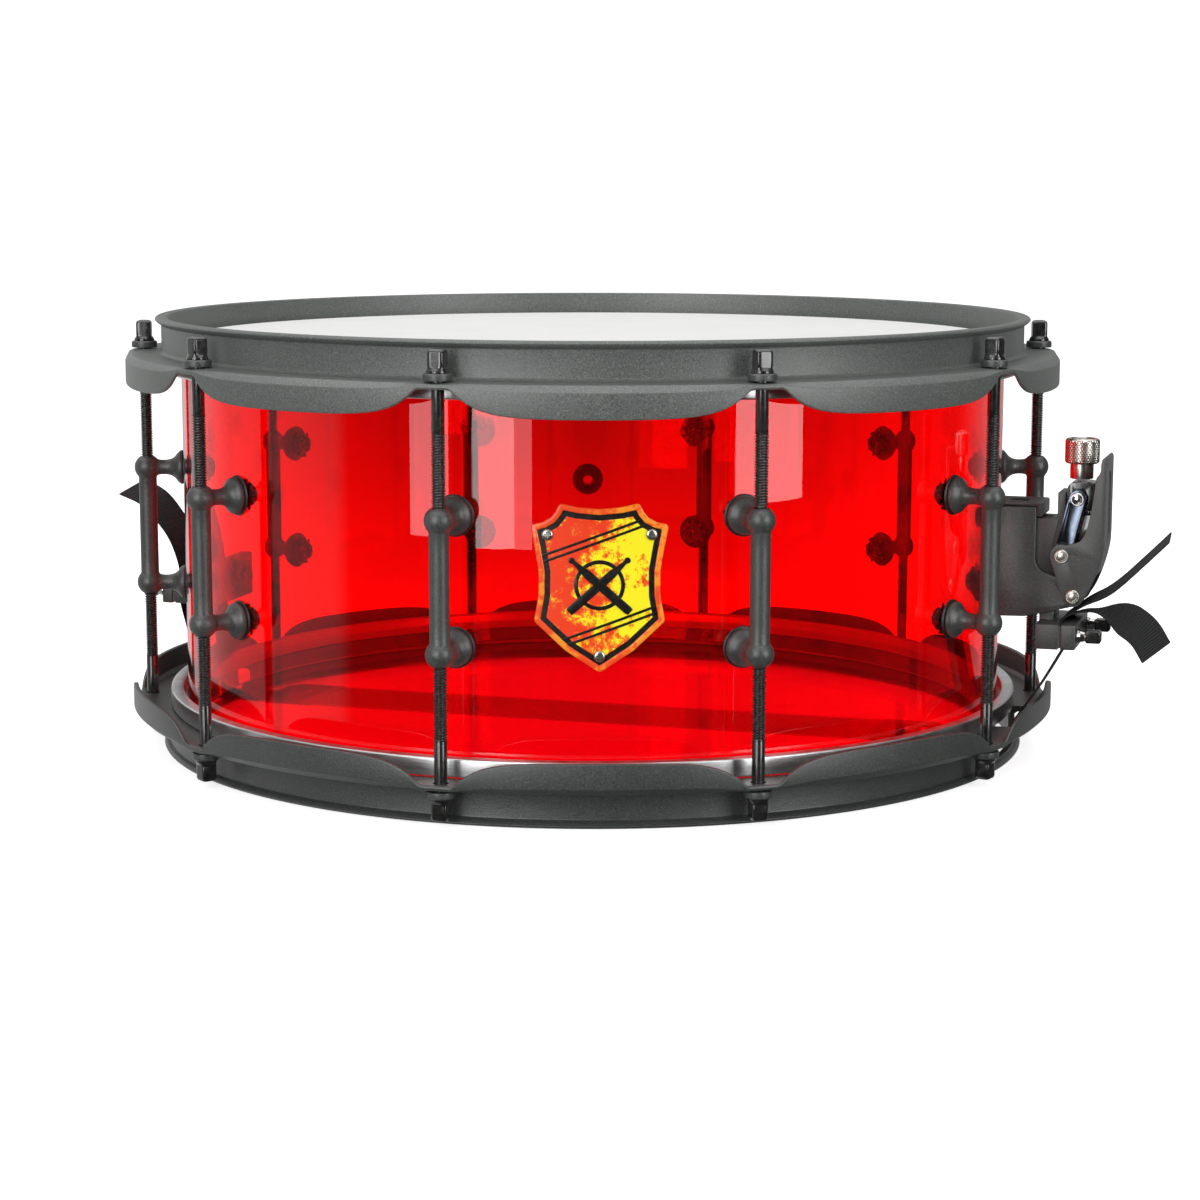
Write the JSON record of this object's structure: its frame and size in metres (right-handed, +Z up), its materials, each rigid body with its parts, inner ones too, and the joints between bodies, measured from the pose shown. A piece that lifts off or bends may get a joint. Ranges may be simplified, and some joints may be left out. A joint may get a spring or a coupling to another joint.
{
  "type": "snare drum",
  "caption": "Round snare drum with a clear red shell, scalloped dark hoops, tube lugs, a throw-off lever, butt plate and ribbon-strapped snare wires.",
  "frame": {"origin": "centre of the batter head's playing surface, on the drum's axis", "axes": "+Z up along the drum's axis, out of the batter head; -Y towards the badge; +X to the badge's right as seen from the front, nearer the throw-off"},
  "size_m": [0.4591, 0.4026, 0.1848],
  "materials": {
    "red_acrylic": "clear red cast acrylic, polished",
    "coated_film": "rough white coating on film",
    "clear_film": "hazy clear film",
    "aluminium": "rolled, satin",
    "powder_coat": "satin dark grey powder coat with a fine grain",
    "black_steel": "glossy black plating",
    "chrome": "polished",
    "black_ribbon": "ribbed woven ribbon",
    "badge_enamel": "gloss print on thin metal"
  },
  "bodies": {
    "root": {"shell": "red_acrylic", "batter_head": "coated_film", "batter_flesh_hoop": "aluminium", "resonant_head": "clear_film", "resonant_flesh_hoop": "aluminium", "top_hoop": "powder_coat", "bottom_hoop": "powder_coat", "lug_01": "powder_coat", "lug_02": "powder_coat", "lug_03": "powder_coat", "lug_04": "powder_coat", "lug_05": "powder_coat", "lug_06": "powder_coat", "lug_07": "powder_coat", "lug_08": "powder_coat", "lug_09": "powder_coat", "lug_10": "powder_coat", "strainer_body": "powder_coat", "strainer_bracket": "powder_coat", "lever_pivot_pin": "chrome", "strainer_strap": "black_ribbon", "butt_body": "powder_coat", "butt_clamp_plate": "powder_coat", "butt_clamp_screw_a": "black_steel", "butt_clamp_screw_b": "black_steel", "butt_strap": "black_ribbon", "snare_wires": "chrome", "badge": "badge_enamel", "vent_grommet": "black_steel"},
    "strainer_slider": {"strainer_slider": "powder_coat", "adjuster_yoke": "powder_coat", "link_top_pin": "chrome", "strainer_clamp_plate": "powder_coat", "strainer_clamp_screw_a": "black_steel", "strainer_clamp_screw_b": "black_steel"},
    "throw_lever": {"throw_lever": "powder_coat"},
    "strainer_link": {"strainer_link": "chrome"},
    "tension_knob": {"tension_knob": "chrome"},
    "top_rod_01": {"top_tension_rod_01": "black_steel"},
    "top_rod_02": {"top_tension_rod_02": "black_steel"},
    "top_rod_03": {"top_tension_rod_03": "black_steel"},
    "top_rod_04": {"top_tension_rod_04": "black_steel"},
    "top_rod_05": {"top_tension_rod_05": "black_steel"},
    "top_rod_06": {"top_tension_rod_06": "black_steel"},
    "top_rod_07": {"top_tension_rod_07": "black_steel"},
    "top_rod_08": {"top_tension_rod_08": "black_steel"},
    "top_rod_09": {"top_tension_rod_09": "black_steel"},
    "top_rod_10": {"top_tension_rod_10": "black_steel"},
    "bottom_rod_01": {"bottom_tension_rod_01": "black_steel"},
    "bottom_rod_02": {"bottom_tension_rod_02": "black_steel"},
    "bottom_rod_03": {"bottom_tension_rod_03": "black_steel"},
    "bottom_rod_04": {"bottom_tension_rod_04": "black_steel"},
    "bottom_rod_05": {"bottom_tension_rod_05": "black_steel"},
    "bottom_rod_06": {"bottom_tension_rod_06": "black_steel"},
    "bottom_rod_07": {"bottom_tension_rod_07": "black_steel"},
    "bottom_rod_08": {"bottom_tension_rod_08": "black_steel"},
    "bottom_rod_09": {"bottom_tension_rod_09": "black_steel"},
    "bottom_rod_10": {"bottom_tension_rod_10": "black_steel"}
  },
  "joints": [
    {"name": "lever_throw", "type": "hinge", "parent": "root", "child": "throw_lever", "pos_m": [0.20229, -0.06573, -0.10365], "axis": [0.309, 0.9511, 0], "range_deg": [0, 75]},
    {"name": "slider_travel", "type": "slide", "parent": "root", "child": "strainer_slider", "axis": [0, 0, 1], "range_m": [-0.0112, 0], "deforming": ["strainer_strap"]},
    {"name": "link_swing", "type": "hinge", "parent": "strainer_slider", "child": "strainer_link", "pos_m": [0.20286, -0.06591, -0.06315], "axis": [0.309, 0.9511, 0], "range_deg": [-49, 0]},
    {"name": "knob_turn", "type": "hinge", "parent": "strainer_slider", "child": "tension_knob", "pos_m": [0.20296, -0.06594, -0.05555], "axis": [0, 0, 1], "continuous": true},
    {"name": "top_rod_01_turn", "type": "hinge", "parent": "root", "child": "top_rod_01", "pos_m": [0.06026, -0.18546, -0.02315], "axis": [0, 0, 1], "continuous": true},
    {"name": "top_rod_02_turn", "type": "hinge", "parent": "root", "child": "top_rod_02", "pos_m": [0.15776, -0.11462, -0.02315], "axis": [0, 0, 1], "continuous": true},
    {"name": "top_rod_03_turn", "type": "hinge", "parent": "root", "child": "top_rod_03", "pos_m": [0.195, 0, -0.02315], "axis": [0, 0, 1], "continuous": true},
    {"name": "top_rod_04_turn", "type": "hinge", "parent": "root", "child": "top_rod_04", "pos_m": [0.15776, 0.11462, -0.02315], "axis": [0, 0, 1], "continuous": true},
    {"name": "top_rod_05_turn", "type": "hinge", "parent": "root", "child": "top_rod_05", "pos_m": [0.06026, 0.18546, -0.02315], "axis": [0, 0, 1], "continuous": true},
    {"name": "top_rod_06_turn", "type": "hinge", "parent": "root", "child": "top_rod_06", "pos_m": [-0.06026, 0.18546, -0.02315], "axis": [0, 0, 1], "continuous": true},
    {"name": "top_rod_07_turn", "type": "hinge", "parent": "root", "child": "top_rod_07", "pos_m": [-0.15776, 0.11462, -0.02315], "axis": [0, 0, 1], "continuous": true},
    {"name": "top_rod_08_turn", "type": "hinge", "parent": "root", "child": "top_rod_08", "pos_m": [-0.195, 0, -0.02315], "axis": [0, 0, 1], "continuous": true},
    {"name": "top_rod_09_turn", "type": "hinge", "parent": "root", "child": "top_rod_09", "pos_m": [-0.15776, -0.11462, -0.02315], "axis": [0, 0, 1], "continuous": true},
    {"name": "top_rod_10_turn", "type": "hinge", "parent": "root", "child": "top_rod_10", "pos_m": [-0.06026, -0.18546, -0.02315], "axis": [0, 0, 1], "continuous": true},
    {"name": "bottom_rod_01_turn", "type": "hinge", "parent": "root", "child": "bottom_rod_01", "pos_m": [0.06026, -0.18546, -0.14315], "axis": [0, 0, 1], "continuous": true},
    {"name": "bottom_rod_02_turn", "type": "hinge", "parent": "root", "child": "bottom_rod_02", "pos_m": [0.15776, -0.11462, -0.14315], "axis": [0, 0, 1], "continuous": true},
    {"name": "bottom_rod_03_turn", "type": "hinge", "parent": "root", "child": "bottom_rod_03", "pos_m": [0.195, 0, -0.14315], "axis": [0, 0, 1], "continuous": true},
    {"name": "bottom_rod_04_turn", "type": "hinge", "parent": "root", "child": "bottom_rod_04", "pos_m": [0.15776, 0.11462, -0.14315], "axis": [0, 0, 1], "continuous": true},
    {"name": "bottom_rod_05_turn", "type": "hinge", "parent": "root", "child": "bottom_rod_05", "pos_m": [0.06026, 0.18546, -0.14315], "axis": [0, 0, 1], "continuous": true},
    {"name": "bottom_rod_06_turn", "type": "hinge", "parent": "root", "child": "bottom_rod_06", "pos_m": [-0.06026, 0.18546, -0.14315], "axis": [0, 0, 1], "continuous": true},
    {"name": "bottom_rod_07_turn", "type": "hinge", "parent": "root", "child": "bottom_rod_07", "pos_m": [-0.15776, 0.11462, -0.14315], "axis": [0, 0, 1], "continuous": true},
    {"name": "bottom_rod_08_turn", "type": "hinge", "parent": "root", "child": "bottom_rod_08", "pos_m": [-0.195, 0, -0.14315], "axis": [0, 0, 1], "continuous": true},
    {"name": "bottom_rod_09_turn", "type": "hinge", "parent": "root", "child": "bottom_rod_09", "pos_m": [-0.15776, -0.11462, -0.14315], "axis": [0, 0, 1], "continuous": true},
    {"name": "bottom_rod_10_turn", "type": "hinge", "parent": "root", "child": "bottom_rod_10", "pos_m": [-0.06026, -0.18546, -0.14315], "axis": [0, 0, 1], "continuous": true}
  ],
  "couplings": [
    {"joint": "slider_travel", "follows": "lever_throw", "m_per_rad": -0.008555},
    {"joint": "link_swing", "follows": "lever_throw", "ratio": -0.652}
  ]
}
